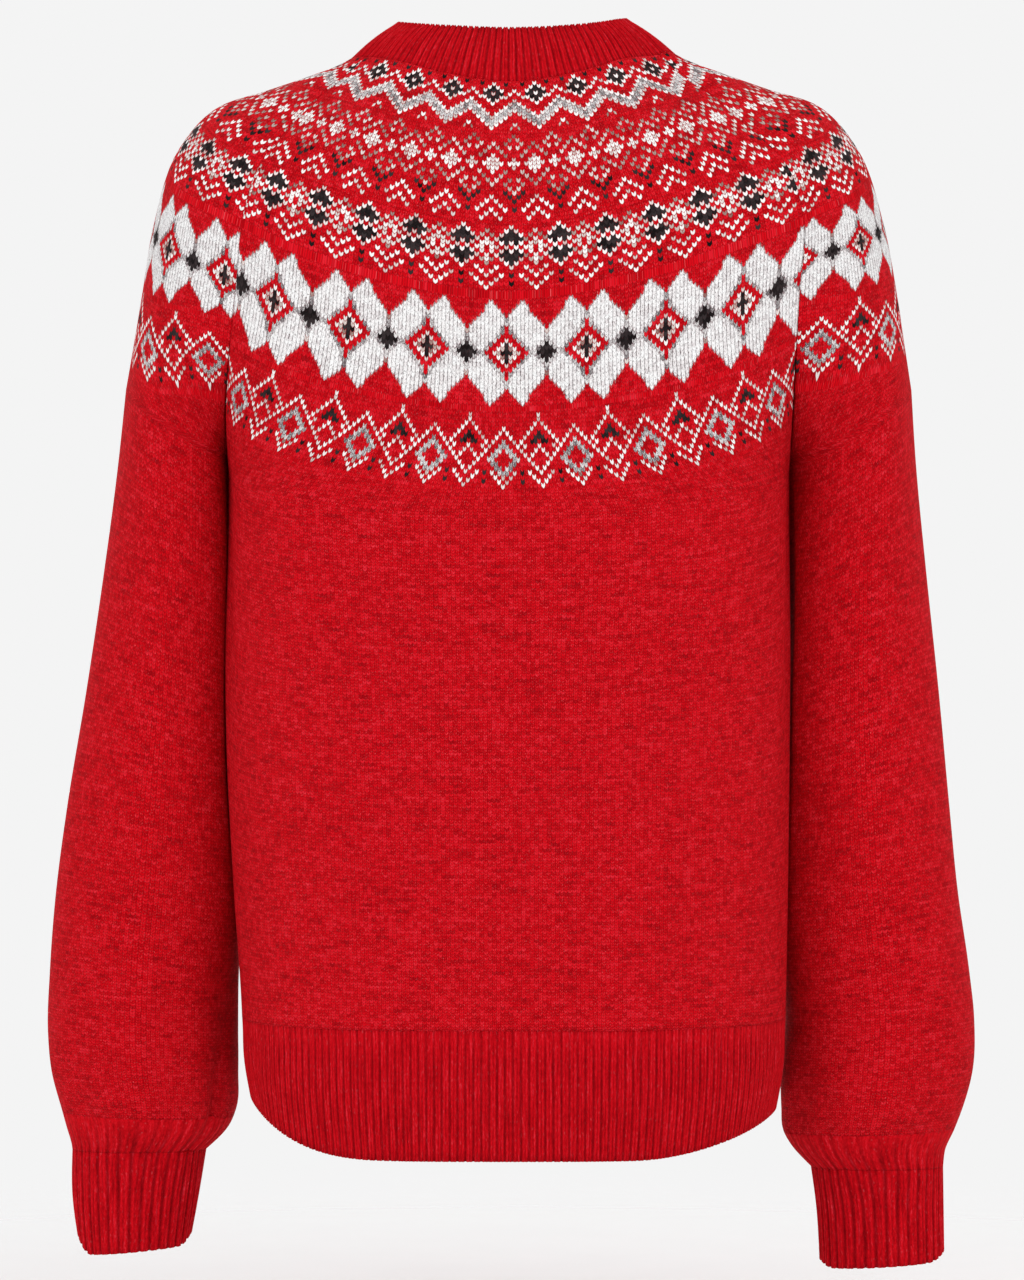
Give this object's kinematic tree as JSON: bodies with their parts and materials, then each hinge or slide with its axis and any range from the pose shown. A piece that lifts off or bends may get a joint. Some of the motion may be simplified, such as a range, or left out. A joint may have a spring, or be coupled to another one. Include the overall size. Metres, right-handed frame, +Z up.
{
  "type": "knitted cardigan",
  "caption": "Hollow worn knitted cardigan with a round patterned yoke, raglan balloon sleeves, buttoned front and deep ribbed collar, cuffs and hem.",
  "frame": {"origin": "between the two shoulder rests at the base of the neck, where the wearer holds the garment up", "axes": "+Z up, +X toward the wearer's left, -Y the way the front faces"},
  "size_m": [0.5382, 0.2371, 0.7183],
  "materials": {
    "red_jacquard_knit": "heathered plain knit with a stranded yoke",
    "red_rib_knit": "ribbed knit",
    "button_plastic": "polished"
  },
  "bodies": {
    "root": {"back": "red_jacquard_knit", "front_left": "red_jacquard_knit", "front_right": "red_jacquard_knit", "sleeve_left": "red_jacquard_knit", "sleeve_right": "red_jacquard_knit", "collar": "red_rib_knit", "hem_back": "red_rib_knit", "hem_front_left": "red_rib_knit", "hem_front_right": "red_rib_knit", "cuff_left": "red_rib_knit", "cuff_right": "red_rib_knit", "band_left": "red_rib_knit", "band_right": "red_rib_knit", "button_1": "button_plastic", "button_2": "button_plastic", "button_3": "button_plastic", "button_4": "button_plastic", "button_5": "button_plastic", "button_6": "button_plastic", "button_7": "button_plastic", "button_8": "button_plastic"}
  },
  "joints": []
}
